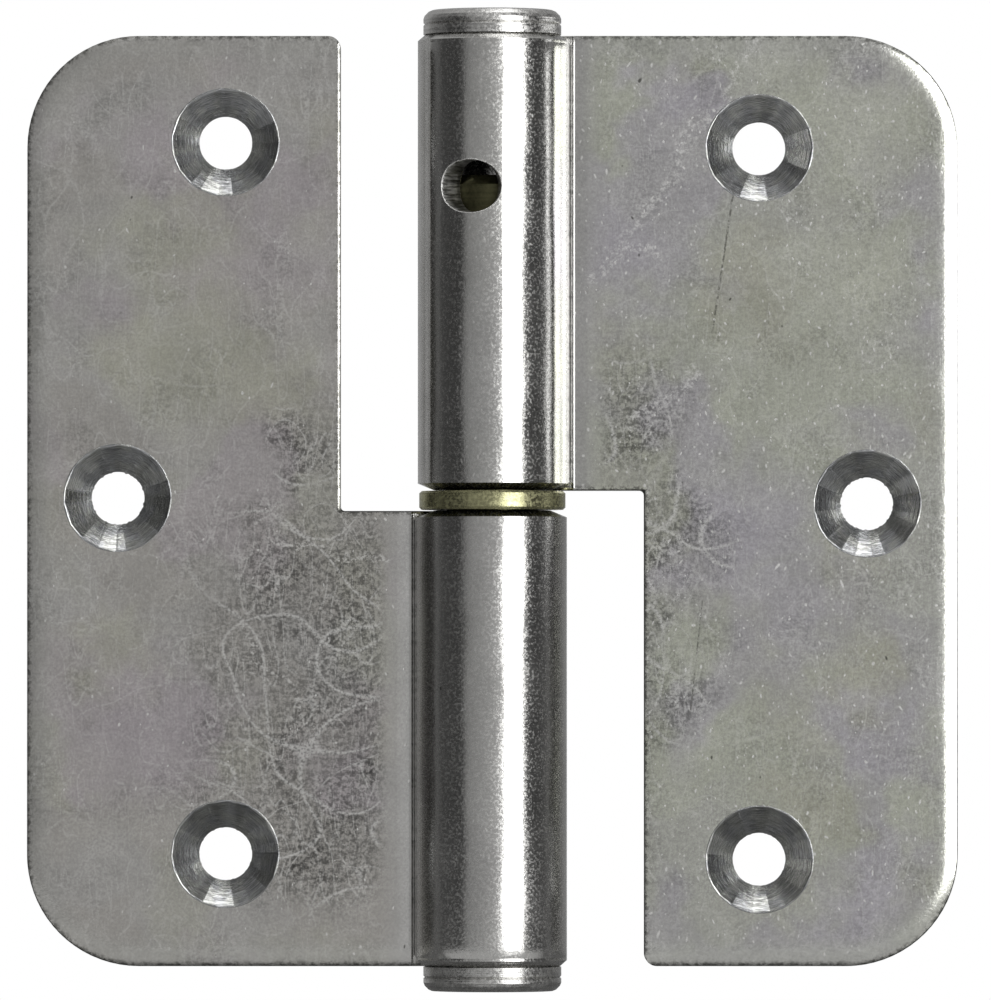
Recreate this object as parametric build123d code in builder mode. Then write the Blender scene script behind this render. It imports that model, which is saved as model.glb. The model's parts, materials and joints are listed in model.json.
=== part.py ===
"""Lift-off butt hinge: two identical steel stampings, each with one curled knuckle.

Millimetres, +Z up. The pin axis is the Z axis and the origin is halfway up the hinge.
The leaves are open flat. Their countersunk faces look along -Y, and the barrel stands
proud of them on that side. The lower knuckle belongs to the left leaf (-X) and carries
the pin. The upper knuckle belongs to the right leaf (+X) and lifts off it.
"""

import os
from math import atan2, cos, degrees, radians, sin, sqrt, tan

from build123d import *

os.makedirs("parts", exist_ok=True)

# Stamping
leaf_height = 100.0
leaf_reach = 50.0
sheet = 3.0
face_offset = 2.0
corner_radius = 12.0
free_corner_radius = 1.4
notch_corner_radius = 0.5
notch_edge = 16.3
front_roll_width = 1.0
front_roll_depth = 0.2
front_edge_break = 0.12
notch_roll_width = 0.3
notch_roll_depth = 0.06
back_edge_chamfer = 0.25

# Curled knuckle
bore_dia = 10.0
bend_front_radius = 14.0
lip_start_angle = 8.0
lip_gap = 0.35
joint_crown_width = 1.7
joint_crown_height = 0.7
outer_crown_width = 0.8
outer_crown_height = 0.7
oil_hole_dia = 5.75
oil_hole_height = 33.5
oil_hole_angle = 17.9

# Screw holes
screw_hole_dia = 5.75
countersink_dia = 11.5
countersink_angle = 100.0
throat_dia = 8.0
screw_land = 0.5
screw_outer_x = 28.7
screw_middle_x = 40.3
screw_spacing = 76.5
screw_shift = 0.3

# Pin, ring and plugs
ring_thickness = 2.0
ring_play = 0.1
ring_dia = 15.7
ring_edge_chamfer = 0.25
running_clearance = 0.05
pin_top = 34.8
pin_tip_height = 1.0
pin_tip_width = 0.7
pin_seat_setback = 1.0
plug_shank = 6.0
plug_shank_lead = 0.5
plug_head_dia = 14.8
plug_head_height = 2.6
plug_collar_height = 1.1
plug_groove = 0.15
plug_rim_chamfer = 0.7
plug_rim_break = 0.2

# Places worked out from the sizes above
half_height = leaf_height / 2
knuckle_end = ring_thickness / 2 + ring_play
bore_radius = bore_dia / 2
barrel_radius = bore_radius + sheet
bend_back_radius = bend_front_radius - sheet
bend_y = face_offset + bend_front_radius
bend_x = sqrt((bend_front_radius + bore_radius) ** 2 - bend_y**2)
join_angle = degrees(atan2(bend_y, bend_x))
back_face = face_offset + sheet


def on_circle(radius, angle):
    """Point of a circle round the pin axis, with the angle counted from +X towards +Y."""
    return Vector(radius * cos(radians(angle)), radius * sin(radians(angle)))


# The curled end leaves the circle at the lip's start and runs on straight until its outer
# corner stands lip_gap in front of the bent sheet.
lip_direction = on_circle(1.0, 90.0 - lip_start_angle)
lip_outer_start = on_circle(barrel_radius, -lip_start_angle)
lip_inner_start = on_circle(bore_radius, -lip_start_angle)
to_lip = lip_outer_start - Vector(bend_x, bend_y)
along = to_lip.dot(lip_direction)
lip_length = -along - sqrt(along**2 - to_lip.dot(to_lip) + (bend_front_radius + lip_gap) ** 2)
lip_outer_end = lip_outer_start + lip_direction * lip_length
lip_inner_end = lip_inner_start + lip_direction * lip_length
curl_sweep = 360.0 - lip_start_angle - join_angle

# Tool that a screw recess is cut with: countersink, flatter throat and a short land.
countersink_depth = (countersink_dia - throat_dia) / 2 / tan(radians(countersink_angle / 2))
with BuildPart() as screw_recess:
    with BuildSketch(Plane.XY):
        with BuildLine():
            Polyline(
                (0, face_offset - sheet),
                (countersink_dia / 2, face_offset - sheet),
                (countersink_dia / 2, face_offset),
                (throat_dia / 2, face_offset + countersink_depth),
                (screw_hole_dia / 2, back_face - screw_land),
                (screw_hole_dia / 2, back_face + sheet),
                (0, back_face + sheet),
                close=True,
            )
        make_face()
    revolve(axis=Axis.Y)

# Knuckle: the sheet curled round the pin from the bend to the straight lip, its two ends
# crowned by a conical cut each.
with BuildPart() as knuckle:
    with BuildSketch(Plane.XY.offset(knuckle_end)):
        with BuildLine():
            CenterArc((0, 0), bore_radius, join_angle, curl_sweep)
            Line(lip_inner_start, lip_inner_end)
            Line(lip_inner_end, lip_outer_end)
            Line(lip_outer_end, lip_outer_start)
            CenterArc((0, 0), barrel_radius, -lip_start_angle, -curl_sweep)
            Line(on_circle(barrel_radius, join_angle), on_circle(bore_radius, join_angle))
        make_face()
    extrude(amount=half_height - knuckle_end)
    with BuildSketch(Plane.XZ):
        with BuildLine():
            Polyline(
                (barrel_radius - joint_crown_width, knuckle_end),
                (barrel_radius + joint_crown_width, knuckle_end + 2 * joint_crown_height),
                (barrel_radius + joint_crown_width, knuckle_end),
                close=True,
            )
        make_face()
        with BuildLine():
            Polyline(
                (barrel_radius - outer_crown_width, half_height),
                (barrel_radius + outer_crown_width, half_height - 2 * outer_crown_height),
                (barrel_radius + outer_crown_width, half_height),
                close=True,
            )
        make_face()
    revolve(axis=Axis.Z, mode=Mode.SUBTRACT)

# Stamping: flat leaf and reverse bend, notched for the other knuckle, with edges that the
# blanking die rolled down, screw recesses and its own knuckle.
with BuildPart() as stamping:
    with BuildSketch(Plane.XY.offset(-half_height)):
        with BuildLine():
            Line((leaf_reach, face_offset), (bend_x, face_offset))
            CenterArc((bend_x, bend_y), bend_front_radius, -90.0, join_angle - 90.0)
            Line(on_circle(bore_radius, join_angle), on_circle(barrel_radius, join_angle))
            CenterArc((bend_x, bend_y), bend_back_radius, join_angle - 180.0, 90.0 - join_angle)
            Line((bend_x, back_face), (leaf_reach, back_face))
            Line((leaf_reach, back_face), (leaf_reach, face_offset))
        make_face()
    extrude(amount=leaf_height)

    fillet(stamping.edges().filter_by(Axis.Y).group_by(Axis.X)[-1], corner_radius)
    front = stamping.faces().filter_by(Axis.Y).sort_by(Axis.Y)[0]
    front_rim = front.edges().filter_by(lambda edge: edge.center().X > bend_x + 0.01)
    chamfer(front_rim, front_roll_width, front_roll_depth, reference=front)
    rolled_face = face_offset + front_roll_depth
    lower_rim = stamping.edges().filter_by_position(Axis.Y, rolled_face - 0.001, rolled_face + 0.001)
    chamfer(lower_rim.filter_by(lambda edge: edge.bounding_box().size.Y < 0.001), front_edge_break)

    with BuildSketch(Plane.XZ.offset(-face_offset - sheet / 2)):
        with BuildLine():
            Line((0, knuckle_end), (notch_edge - notch_corner_radius, knuckle_end))
            CenterArc(
                (notch_edge - notch_corner_radius, knuckle_end - notch_corner_radius),
                notch_corner_radius, 90.0, -90.0,
            )
            Line(
                (notch_edge, knuckle_end - notch_corner_radius),
                (notch_edge, free_corner_radius - half_height),
            )
            CenterArc(
                (notch_edge + free_corner_radius, free_corner_radius - half_height),
                free_corner_radius, 180.0, 90.0,
            )
            Polyline(
                (notch_edge + free_corner_radius, -half_height),
                (notch_edge + free_corner_radius, -half_height - sheet),
                (0, -half_height - sheet),
                (0, knuckle_end),
            )
        make_face()
    extrude(amount=2 * sheet, both=True, mode=Mode.SUBTRACT)
    front = stamping.faces().filter_by(Axis.Y).sort_by(Axis.Y)[0]
    notch_rim = front.edges().filter_by_position(Axis.X, notch_edge - 0.001, notch_edge + 0.001)
    chamfer(notch_rim, notch_roll_width, notch_roll_depth, reference=front)
    back = stamping.faces().filter_by(Axis.Y).sort_by(Axis.Y)[-1]
    chamfer(back.edges().filter_by(lambda edge: edge.center().X > bend_x + 0.01), back_edge_chamfer)

    with Locations(
        (screw_outer_x, 0, screw_spacing / 2 - screw_shift),
        (screw_middle_x, 0, -screw_shift),
        (screw_outer_x, 0, -screw_spacing / 2 - screw_shift),
    ):
        add(screw_recess.part, mode=Mode.SUBTRACT)
    add(knuckle.part)

# Lower leaf: the stamping turned over about the line of sight.
with BuildPart() as lower_leaf:
    add(stamping.part, rotation=(0, 180, 0))

# Upper leaf: the stamping with the oil hole. The hole was punched round in the flat sheet,
# so after curling its side walls are radial and it is wider outside than inside.
oil_half_angle = (oil_hole_dia / 2) / (bore_radius + sheet / 2)
oil_direction = on_circle(1.0, -90.0 - oil_hole_angle)
oil_plane = Plane(
    origin=(0, 0, oil_hole_height),
    x_dir=(-oil_direction.Y, oil_direction.X, 0),
    z_dir=(oil_direction.X, oil_direction.Y, 0),
)
with BuildPart() as upper_leaf:
    add(stamping.part)
    for distance in (bore_radius - sheet / 3, barrel_radius + sheet / 3):
        with BuildSketch(oil_plane.offset(distance)):
            Ellipse(distance * tan(oil_half_angle), oil_hole_dia / 2)
    loft(mode=Mode.SUBTRACT)

# Hinge pin: pressed into the lower knuckle, turned down above it to run in the ring and
# in the upper knuckle, with a coned tip that the oil hole looks onto.
pin_bottom = -half_height + plug_shank
pin_step = -knuckle_end - pin_seat_setback
running_radius = bore_radius - running_clearance
with BuildPart() as hinge_pin:
    with BuildSketch(Plane.XZ):
        with BuildLine():
            Polyline(
                (0, pin_bottom),
                (bore_radius, pin_bottom),
                (bore_radius, pin_step),
                (running_radius, pin_step + running_clearance),
                (running_radius, pin_top - pin_tip_height),
                (running_radius - pin_tip_width, pin_top),
                (0, pin_top),
                close=True,
            )
        make_face()
    revolve(axis=Axis.Z)

# Spacer ring between the knuckles.
with BuildPart() as spacer_ring:
    with BuildSketch(Plane.XY.offset(-ring_thickness / 2)):
        Circle(ring_dia / 2)
        Circle(running_radius + running_clearance, mode=Mode.SUBTRACT)
    extrude(amount=ring_thickness)
    rims = spacer_ring.edges().filter_by(GeomType.CIRCLE)
    chamfer(rims.filter_by(lambda edge: edge.radius > bore_radius + sheet / 2), ring_edge_chamfer)

# Top plug: turned cap with a groove round its head, its shank pressed into the bore.
head_radius = plug_head_dia / 2
with BuildPart() as top_plug:
    with BuildSketch(Plane.XZ):
        with BuildLine():
            Polyline(
                (0, half_height - plug_shank),
                (bore_radius - plug_shank_lead, half_height - plug_shank),
                (bore_radius, half_height - plug_shank + plug_shank_lead),
                (bore_radius, half_height),
                (head_radius, half_height),
                (head_radius, half_height + plug_collar_height - plug_groove),
                (head_radius - plug_groove, half_height + plug_collar_height),
                (head_radius, half_height + plug_collar_height + plug_groove),
                (head_radius, half_height + plug_head_height),
                (0, half_height + plug_head_height),
                close=True,
            )
        make_face()
    revolve(axis=Axis.Z)
    chamfer(top_plug.edges().filter_by(GeomType.CIRCLE).sort_by(Axis.Z)[-1], plug_rim_chamfer)
    chamfer(top_plug.edges().filter_by(GeomType.CIRCLE).sort_by(Axis.Z)[-2:], plug_rim_break)

# Bottom plug: the same cap, turned over into the lower knuckle.
with BuildPart() as bottom_plug:
    add(top_plug.part, rotation=(0, 180, 0))

upper_leaf.part.label = "upper_leaf"
export_step(upper_leaf.part, "parts/upper_leaf.step")
lower_leaf.part.label = "lower_leaf"
export_step(lower_leaf.part, "parts/lower_leaf.step")
hinge_pin.part.label = "hinge_pin"
export_step(hinge_pin.part, "parts/hinge_pin.step")
spacer_ring.part.label = "spacer_ring"
export_step(spacer_ring.part, "parts/spacer_ring.step")
top_plug.part.label = "top_plug"
export_step(top_plug.part, "parts/top_plug.step")
bottom_plug.part.label = "bottom_plug"
export_step(bottom_plug.part, "parts/bottom_plug.step")
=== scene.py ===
"""Finishes and lights a lift-off butt hinge of zinc plated steel.

The leaves, plugs, ring and pin keep their own shapes and get worked-out finishes: zinc with a
tinted film, grain and hairline scratches, turned brass and turned steel. The new pieces are
the cut skins of the six screw recesses and the rolled mouth of the oil hole. The stage is a
pale floor, a soft surround, three lamps and the camera.
"""

import json
import math
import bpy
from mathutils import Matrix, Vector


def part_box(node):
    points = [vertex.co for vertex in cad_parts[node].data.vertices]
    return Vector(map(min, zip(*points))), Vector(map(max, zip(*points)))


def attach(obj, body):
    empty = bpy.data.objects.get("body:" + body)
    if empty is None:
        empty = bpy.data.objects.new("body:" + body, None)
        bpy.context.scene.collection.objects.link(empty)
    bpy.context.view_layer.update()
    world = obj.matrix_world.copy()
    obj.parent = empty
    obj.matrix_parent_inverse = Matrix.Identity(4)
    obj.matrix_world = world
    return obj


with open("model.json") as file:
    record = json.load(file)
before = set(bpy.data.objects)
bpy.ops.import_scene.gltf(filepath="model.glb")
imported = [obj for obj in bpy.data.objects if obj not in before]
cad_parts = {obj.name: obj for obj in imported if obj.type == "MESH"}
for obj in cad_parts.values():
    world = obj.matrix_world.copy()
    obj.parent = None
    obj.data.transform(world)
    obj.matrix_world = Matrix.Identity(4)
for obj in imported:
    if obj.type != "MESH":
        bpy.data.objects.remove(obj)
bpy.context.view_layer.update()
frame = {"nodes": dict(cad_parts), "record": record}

from types import SimpleNamespace

import bpy
import numpy as np
from mathutils import Vector

bl_info = {
    "name": "Lift-off Hinge Finish",
    "version": (1, 0, 0),
    "blender": (4, 5, 0),
    "location": "3D View > Sidebar > Hinge",
    "description": "Zinc and brass finishes, cut details, light and camera for a lift-off butt hinge",
    "category": "Object",
}

MM = 0.001
LEAVES = {"lower_leaf": "fixed_leaf", "upper_leaf": "swinging_leaf"}
MOUNTS = {mount["name"]: mount for mount in frame["record"]["mounts"]}
BARREL_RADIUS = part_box("upper_leaf")[0][1] * -1
LEAF_BACK = MOUNTS["upper_leaf_back"]["pos_m"][1]
SCREW_HOLE_RADIUS = MOUNTS["lower_leaf_middle_screw"]["dims"]["r_mm"] * MM

# How far the film's clouds move the edges of its patches and the scuffs, in millimetres
PATCH_DRIFT = 13.0
SCUFF_DRIFT = 4.0

# Place and half width of the ridge pressed beside the lip, in millimetres
LIP_RIDGE = 8.72
LIP_RIDGE_WIDTH = 0.13

# Dirt on the cut sides, painted shade along the edges, the painted shadow line round the notch, cuts
# and pits
SIDE_DIRT = (0.14, 0.14, 0.13)
EDGE_SHADE = (0.10, 0.10, 0.09)
NOTCH_SHADOW_LINE = (0.035, 0.035, 0.032)
CUT_DARK = (0.12, 0.12, 0.10)
PIT_DARK = (0.06, 0.06, 0.05)

# What the properties of one kind have in common
LENGTH = {"precision": 5, "subtype": "DISTANCE", "unit": "LENGTH"}
ANGLE = {"subtype": "ANGLE", "unit": "ROTATION"}
COLOUR = {"min": 0.0, "max": 1.0, "subtype": "COLOR"}


class HingeSizes(bpy.types.PropertyGroup):
    """Sizes of the leaves' outline and of the cut details, in metres."""

    leaf_reach: bpy.props.FloatProperty(
        name="Leaf",
        description="From the middle of the hinge to the leaf's outer edge",
        default=50.0 * MM, min=20.0 * MM, max=200.0 * MM, **LENGTH,
    )
    corner_radius: bpy.props.FloatProperty(
        name="Corners",
        description="Radius of the leaf's outer corners",
        default=12.0 * MM, min=1.0 * MM, max=50.0 * MM, **LENGTH,
    )
    notch_edge: bpy.props.FloatProperty(
        name="Notch edge",
        description="From the pin's axis to the leaf's edge beside the other knuckle",
        default=16.3 * MM, min=8.0 * MM, max=50.0 * MM, **LENGTH,
    )
    notch_end: bpy.props.FloatProperty(
        name="Notch end",
        description="How far the notch goes past the middle of the hinge",
        default=1.1 * MM, min=0.0, max=20.0 * MM, **LENGTH,
    )
    sheet: bpy.props.FloatProperty(
        name="Sheet",
        description="Thickness of the leaves",
        default=3.0 * MM, min=1.0 * MM, max=6.0 * MM, **LENGTH,
    )
    recess_diameter: bpy.props.FloatProperty(
        name="Recess",
        description="Diameter of a screw recess at the face of the leaf",
        default=11.5 * MM, min=6.0 * MM, max=20.0 * MM, **LENGTH,
    )
    throat_diameter: bpy.props.FloatProperty(
        name="Throat",
        description="Diameter at which the recess turns a little steeper",
        default=8.0 * MM, min=4.0 * MM, max=15.0 * MM, **LENGTH,
    )
    screw_land: bpy.props.FloatProperty(
        name="Land",
        description="Length of the straight hole behind the recess",
        default=0.5 * MM, min=0.1 * MM, max=2.0 * MM, **LENGTH,
    )
    recess_angle: bpy.props.FloatProperty(
        name="Recess angle",
        description="Whole angle of the recess's cone",
        default=math.radians(100.0), min=math.radians(60.0), max=math.radians(140.0), **ANGLE,
    )
    skin: bpy.props.FloatProperty(
        name="Skin",
        description="How far a cut skin stands on the metal that carries it",
        default=0.03 * MM, min=0.005 * MM, max=0.2 * MM, **LENGTH,
    )
    facets: bpy.props.IntProperty(
        name="Chatter marks",
        description="Flat marks that the cutter left round a recess",
        default=19, min=6, max=60,
    )
    oil_hole_diameter: bpy.props.FloatProperty(
        name="Oil hole",
        description="Height of the oil hole",
        default=5.75 * MM, min=2.0 * MM, max=10.0 * MM, **LENGTH,
    )
    oil_hole_height: bpy.props.FloatProperty(
        name="Oil hole height",
        description="Height of the oil hole above the middle of the hinge",
        default=33.5 * MM, min=0.0, max=50.0 * MM, **LENGTH,
    )
    oil_hole_turn: bpy.props.FloatProperty(
        name="Oil hole turn",
        description="Angle of the oil hole from straight ahead, towards the lower leaf",
        default=math.radians(17.9), min=-math.pi, max=math.pi, **ANGLE,
    )


class HingeFinish(bpy.types.PropertyGroup):
    """Colours of the finishes."""

    zinc: bpy.props.FloatVectorProperty(
        name="Zinc", description="Plain zinc between the tints",
        default=(0.59, 0.585, 0.57), **COLOUR,
    )
    violet: bpy.props.FloatVectorProperty(
        name="Violet film", description="Violet patches of the film on the zinc",
        default=(0.582, 0.56, 0.602), **COLOUR,
    )
    straw: bpy.props.FloatVectorProperty(
        name="Straw film", description="Straw patches of the film on the zinc",
        default=(0.575, 0.575, 0.475), **COLOUR,
    )
    green: bpy.props.FloatVectorProperty(
        name="Green film", description="Green patches of the film on the zinc",
        default=(0.61, 0.626, 0.536), **COLOUR,
    )
    fresh: bpy.props.FloatVectorProperty(
        name="Fresh film", description="Pale patches that were handled least",
        default=(0.67, 0.685, 0.585), **COLOUR,
    )
    scratch: bpy.props.FloatVectorProperty(
        name="Scratches", description="Bare metal in the scratches",
        default=(0.85, 0.845, 0.82), **COLOUR,
    )
    # Darker than the zinc of the face: painted shade in the screw recesses
    recess: bpy.props.FloatVectorProperty(
        name="Recess", description="Plated metal in the screw recesses",
        default=(0.35, 0.355, 0.36), **COLOUR,
    )
    brass: bpy.props.FloatVectorProperty(
        name="Ring", description="Dull yellow of the ring",
        default=(0.41, 0.40, 0.235), **COLOUR,
    )
    # Yellowish steel made darker than the metal is: partly painted shade of the pin lying inside the
    # barrel
    pin: bpy.props.FloatVectorProperty(
        name="Pin", description="Yellowish steel of the pin",
        default=(0.095, 0.092, 0.05), **COLOUR,
    )


class HingeStage(bpy.types.PropertyGroup):
    """Camera, lamps and floor."""

    camera_distance: bpy.props.FloatProperty(
        name="Camera distance", description="From the pin's axis to the lens",
        default=1.37, min=0.3, max=5.0, **LENGTH,
    )
    camera_drop: bpy.props.FloatProperty(
        name="Camera drop", description="How far the lens is below the middle of the hinge",
        default=0.020, min=-1.0, max=1.0, **LENGTH,
    )
    framed_height: bpy.props.FloatProperty(
        name="Framed height", description="Height of the picture at the pin's axis",
        default=0.1073, min=0.05, max=1.0, **LENGTH,
    )
    key_turn: bpy.props.FloatProperty(
        name="Key turn", description="Angle of the tall strip lamp from the viewer towards the right",
        default=math.radians(33.5), min=-math.pi, max=math.pi, **ANGLE,
    )
    key_distance: bpy.props.FloatProperty(
        name="Key distance", description="From the middle of the hinge to the tall strip lamp",
        default=1.3, min=0.3, max=5.0, **LENGTH,
    )
    key_level: bpy.props.FloatProperty(
        name="Key lamp", description="Brightness of the tall strip lamp, where 1 is white",
        default=4.5, min=0.0, max=10.0,
    )
    top_level: bpy.props.FloatProperty(
        name="Top lamp", description="Brightness of the lamp overhead, where 1 is white",
        default=3.0, min=0.0, max=10.0,
    )
    card_level: bpy.props.FloatProperty(
        name="Rear card",
        description="Brightness of the small card behind the right edge, where 1 is white",
        default=2.0, min=0.0, max=10.0,
    )
    floor_radius: bpy.props.FloatProperty(
        name="Floor radius", description="From the middle of the floor to its rim",
        default=0.45, min=0.2, max=5.0, **LENGTH,
    )
    floor_drop: bpy.props.FloatProperty(
        name="Floor", description="How far the floor is below the middle of the hinge",
        default=0.075, min=0.055, max=1.0, **LENGTH,
    )


class Graph:
    """The nodes of one material or world, called g below. Most methods add a node and return its
    output."""

    def __init__(self, tree):
        self.tree = tree
        tree.nodes.clear()

    def node(self, kind, **settings):
        """A node of this kind with its own settings."""
        made = self.tree.nodes.new(kind)
        for name, value in settings.items():
            setattr(made, name, value)
        return made

    def feed(self, socket, value):
        """Gives a socket a constant, or the output of another node."""
        if isinstance(value, bpy.types.NodeSocket):
            self.tree.links.new(value, socket)
        elif value is not None:
            socket.default_value = value

    def math(self, operation, a, b=None):
        """One operation on one or two numbers."""
        made = self.node("ShaderNodeMath", operation=operation)
        for socket, value in zip(made.inputs, (a, b)):
            self.feed(socket, value)
        return made.outputs[0]

    def vector(self, operation, a, b=None, scale=None):
        """One operation on one or two vectors. Lengths, distances and dot products are numbers."""
        made = self.node("ShaderNodeVectorMath", operation=operation)
        self.feed(made.inputs[0], a)
        self.feed(made.inputs[1], b)
        self.feed(made.inputs[3], scale)
        return made.outputs[1 if operation in ("DOT_PRODUCT", "LENGTH", "DISTANCE") else 0]

    def object_place(self):
        """Place on the object in millimetres."""
        return self.vector("SCALE", self.node("ShaderNodeTexCoord").outputs["Object"], scale=1 / MM)

    def node_outputs(self, kind, value):
        """All outputs of a node with one input."""
        made = self.node(kind)
        self.feed(made.inputs[0], value)
        return list(made.outputs)

    def split(self, vector):
        """The three numbers of a vector."""
        return self.node_outputs("ShaderNodeSeparateXYZ", vector)

    def join(self, x, y, z):
        """The vector of three numbers."""
        made = self.node("ShaderNodeCombineXYZ")
        for socket, value in zip(made.inputs, (x, y, z)):
            self.feed(socket, value)
        return made.outputs[0]

    def turned(self, vector, angle, across, along):
        """Flat coordinates turned by an angle and stretched along their own axes."""
        made = self.node("ShaderNodeMapping")
        self.feed(made.inputs["Vector"], vector)
        made.inputs["Rotation"].default_value = (0.0, 0.0, angle)
        made.inputs["Scale"].default_value = (across, along, 1.0)
        return made.outputs[0]

    def noise(self, vector, scale, detail=2.0, roughness=0.5, colour=False, flat=True):
        """Cloudy noise, as one number or as a colour of three that differ."""
        made = self.node("ShaderNodeTexNoise", noise_dimensions="2D" if flat else "3D")
        self.feed(made.inputs["Vector"], vector)
        made.inputs["Scale"].default_value = scale
        made.inputs["Detail"].default_value = detail
        made.inputs["Roughness"].default_value = roughness
        return made.outputs["Color" if colour else "Fac"]

    def cells(self, vector, scale):
        """Flat cells: their outputs by name, among them the distance from the cell's own point."""
        made = self.node("ShaderNodeTexVoronoi", voronoi_dimensions="2D")
        self.feed(made.inputs["Vector"], vector)
        made.inputs["Scale"].default_value = scale
        return made.outputs

    def span(self, value, low, high, to_low=0.0, to_high=1.0, smooth=True):
        """The value carried from one span to another, held at the ends."""
        made = self.node("ShaderNodeMapRange", interpolation_type="SMOOTHSTEP" if smooth else "LINEAR")
        for name, number in zip(
            ("Value", "From Min", "From Max", "To Min", "To Max"), (value, low, high, to_low, to_high)
        ):
            self.feed(made.inputs[name], number)
        return made.outputs["Result"]

    def mix(self, factor, a, b):
        """The colour a where the factor is 0 and the colour b where it is 1."""
        made = self.node("ShaderNodeMix", data_type="RGBA")
        self.feed(made.inputs[0], factor)
        self.feed(made.inputs[6], a if isinstance(a, bpy.types.NodeSocket) else (*a, 1.0))
        self.feed(made.inputs[7], b if isinstance(b, bpy.types.NodeSocket) else (*b, 1.0))
        return made.outputs[2]

    def blend(self, factor, a, b):
        """The number a where the factor is 0 and the number b where it is 1."""
        made = self.node("ShaderNodeMix", data_type="FLOAT")
        for socket, value in zip(made.inputs, (factor, None, a, b)):
            self.feed(socket, value)
        return made.outputs[0]

    def shade(self, colour, factor):
        """The colour made lighter or darker by a factor."""
        return self.vector("SCALE", colour, scale=factor)

    def total(self, *values):
        """The values added up."""
        result = values[0]
        for value in values[1:]:
            result = self.math("ADD", result, value)
        return result

    def product(self, *values):
        """The values multiplied together."""
        result = values[0]
        for value in values[1:]:
            result = self.math("MULTIPLY", result, value)
        return result

    def metal(self, colour, roughness, height, depth):
        """A metal surface whose bumps are at most depth millimetres high, joined to the output."""
        bump = self.node("ShaderNodeBump")
        bump.inputs["Strength"].default_value = 1.0
        bump.inputs["Distance"].default_value = depth * MM
        self.feed(bump.inputs["Height"], height)
        surface = self.node("ShaderNodeBsdfPrincipled", distribution="GGX")
        surface.inputs["Metallic"].default_value = 1.0
        self.feed(surface.inputs["Base Color"], colour)
        self.feed(surface.inputs["Roughness"], roughness)
        self.feed(surface.inputs["Normal"], bump.outputs["Normal"])
        output = self.node("ShaderNodeOutputMaterial")
        self.feed(output.inputs["Surface"], surface.outputs[0])


def new_material(name):
    """An empty material with nodes, and its graph."""
    material = bpy.data.materials.new(name)
    material.use_nodes = True
    return material, Graph(material.node_tree)


def unrolled(g, x, y, z, seed):
    """Flat coordinates of the sheet in millimetres: x on the leaf or the length of arc round the
    barrel, and height. They don't change through the sheet, so edges get streaks across, and no
    two faces have the same pattern. The other values are 1 on the barrel and 1 on the front."""
    from_axis = g.vector("LENGTH", g.join(x, y, 0.0))
    barrel = g.math("LESS_THAN", from_axis, BARREL_RADIUS / MM + 0.08)
    arc = g.product(g.math("ARCTAN2", x, g.product(y, -1.0)), BARREL_RADIUS / MM)
    across = g.total(x, g.product(barrel, g.total(arc, g.product(x, -1.0))))
    front = g.math("LESS_THAN", y, LEAF_BACK / MM - 0.3)
    flat = g.join(g.total(across, g.product(front, 61.0), seed * 17.0), g.total(z, seed * 29.0), 0.0)
    return flat, barrel, front


def edge_distance(g, sizes, x, z):
    """Millimetres from a place to the outline of the leaf: a square with rounded corners."""
    straight = (sizes.leaf_reach - sizes.corner_radius) / MM
    past_x = g.math("SUBTRACT", g.math("ABSOLUTE", x), straight)
    past_z = g.math("SUBTRACT", g.math("ABSOLUTE", z), straight)
    beyond = g.join(g.math("MAXIMUM", past_x, 0.0), g.math("MAXIMUM", past_z, 0.0), 0.0)
    within = g.math("MINIMUM", g.math("MAXIMUM", past_x, past_z), 0.0)
    return g.math("SUBTRACT", sizes.corner_radius / MM, g.total(g.vector("LENGTH", beyond), within))


def notch_distance(g, sizes, x, z, way):
    """Millimetres from a place to the notch beside the other knuckle, which runs up where way is
    1 and down where it is -1."""
    past_x = g.math("MAXIMUM", g.math("SUBTRACT", g.math("ABSOLUTE", x), sizes.notch_edge / MM), 0.0)
    past_z = g.math("MAXIMUM", g.total(g.product(z, -way), -sizes.notch_end / MM), 0.0)
    return g.vector("LENGTH", g.join(past_x, past_z, 0.0))


def adrift(g, face, clouds, distance):
    """The place on the face, moved with the clouds by up to half the distance either way."""
    return g.vector("ADD", face, g.vector("MULTIPLY", clouds, (distance, 0.0, distance)))


def leaf_fields(g, sizes, look):
    """Coordinates, masks and noises that a leaf's finish is made from, in millimetres.

    flat is the place on the unrolled sheet, face the place on the open leaf's face and drifted
    that place for the patches. y is the place from front to back, and deep how far that is behind
    the leaf's face. barrel and front are 1 there and 0 elsewhere, off_bend is 1 past the bend, and
    off_right is 0 only in the last millimetre at the hinge's right edge. beside, off_edge and
    off_notch are the distances from the pin's plane, from the leaf's outline and from its notch.
    The noises go from broad clouds over mottle to grain, and wander is the clouds' colour about
    zero.
    """
    x, y, z = g.split(g.object_place())
    flat, barrel, front = unrolled(g, x, y, z, look["seed"])
    beside = g.math("ABSOLUTE", x)
    face = g.join(x, 0.0, z)
    clouds = g.noise(flat, 0.16, 2.0, 0.6, colour=True)
    wander = g.vector("SUBTRACT", clouds, (0.5, 0.5, 0.5))
    return SimpleNamespace(
        y=y,
        deep=g.math("SUBTRACT", y, (LEAF_BACK - sizes.sheet) / MM),
        flat=flat,
        face=face,
        drifted=adrift(g, face, wander, PATCH_DRIFT),
        barrel=barrel,
        front=front,
        beside=beside,
        off_bend=g.span(beside, 10.8, 13.0),
        off_right=g.math("LESS_THAN", x, sizes.leaf_reach / MM - 1.0),
        off_edge=edge_distance(g, sizes, x, z),
        off_notch=notch_distance(g, sizes, x, z, look["notch"]),
        broad=g.node_outputs("ShaderNodeSeparateColor", clouds),
        wander=wander,
        mottle=g.noise(g.turned(flat, 0.0, 1.0, 1.2), 1.25, 4.0, 0.80),
        grain=g.noise(flat, 3.4, 1.0, 0.6),
    )


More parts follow.
